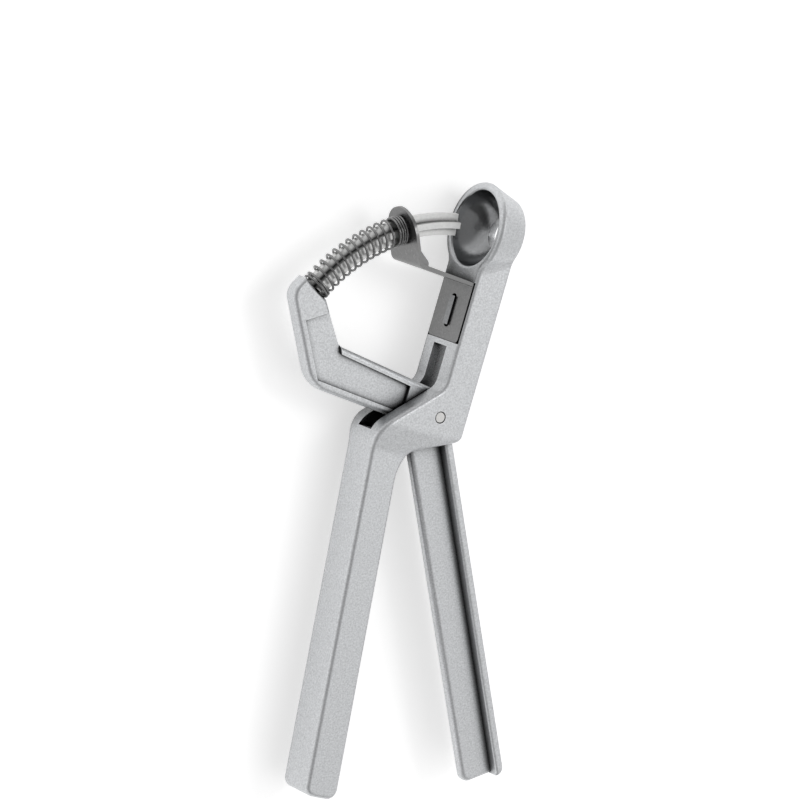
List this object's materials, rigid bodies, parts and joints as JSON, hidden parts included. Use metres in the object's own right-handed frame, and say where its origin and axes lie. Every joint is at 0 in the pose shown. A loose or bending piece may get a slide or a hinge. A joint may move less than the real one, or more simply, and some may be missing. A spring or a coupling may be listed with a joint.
{
  "type": "olive pitter",
  "caption": "Plier-shaped olive pitter with a bowl-shaped cup, a curved spring-loaded plunger, a bent stripper plate and two crossed cast levers on a pin.",
  "frame": {"origin": "middle of the bottom of the tool's bounding box, as it lies on its side with the handles towards -Y", "axes": "+Z along the pivot pin, +Y from the handles to the cup, +X towards the plunger lever's handle"},
  "size_m": [0.0626, 0.1498, 0.0228],
  "materials": {
    "cup_casting": "fine bead-blasted casting",
    "plunger_casting": "fine bead-blasted casting",
    "rod_steel": "smooth, bright",
    "spring_wire": "drawn wire, bright",
    "sheet_steel": "rolled sheet, satin",
    "pin_steel": "plain, bright"
  },
  "bodies": {
    "cup_side": {"cup_lever": "cup_casting", "stripper": "sheet_steel", "pivot_pin": "pin_steel", "return_spring": "spring_wire"},
    "plunger_side": {"plunger_lever": "plunger_casting", "plunger": "rod_steel"}
  },
  "joints": [
    {"name": "squeeze", "type": "hinge", "parent": "cup_side", "child": "plunger_side", "pos_m": [0.00722, 0.02012, 0.0114], "axis": [0, 0, -1], "range_deg": [-15, 19], "stiffness_Nm_per_rad": 0.7, "springref_deg": -20.05, "deforming": ["return_spring"]}
  ]
}
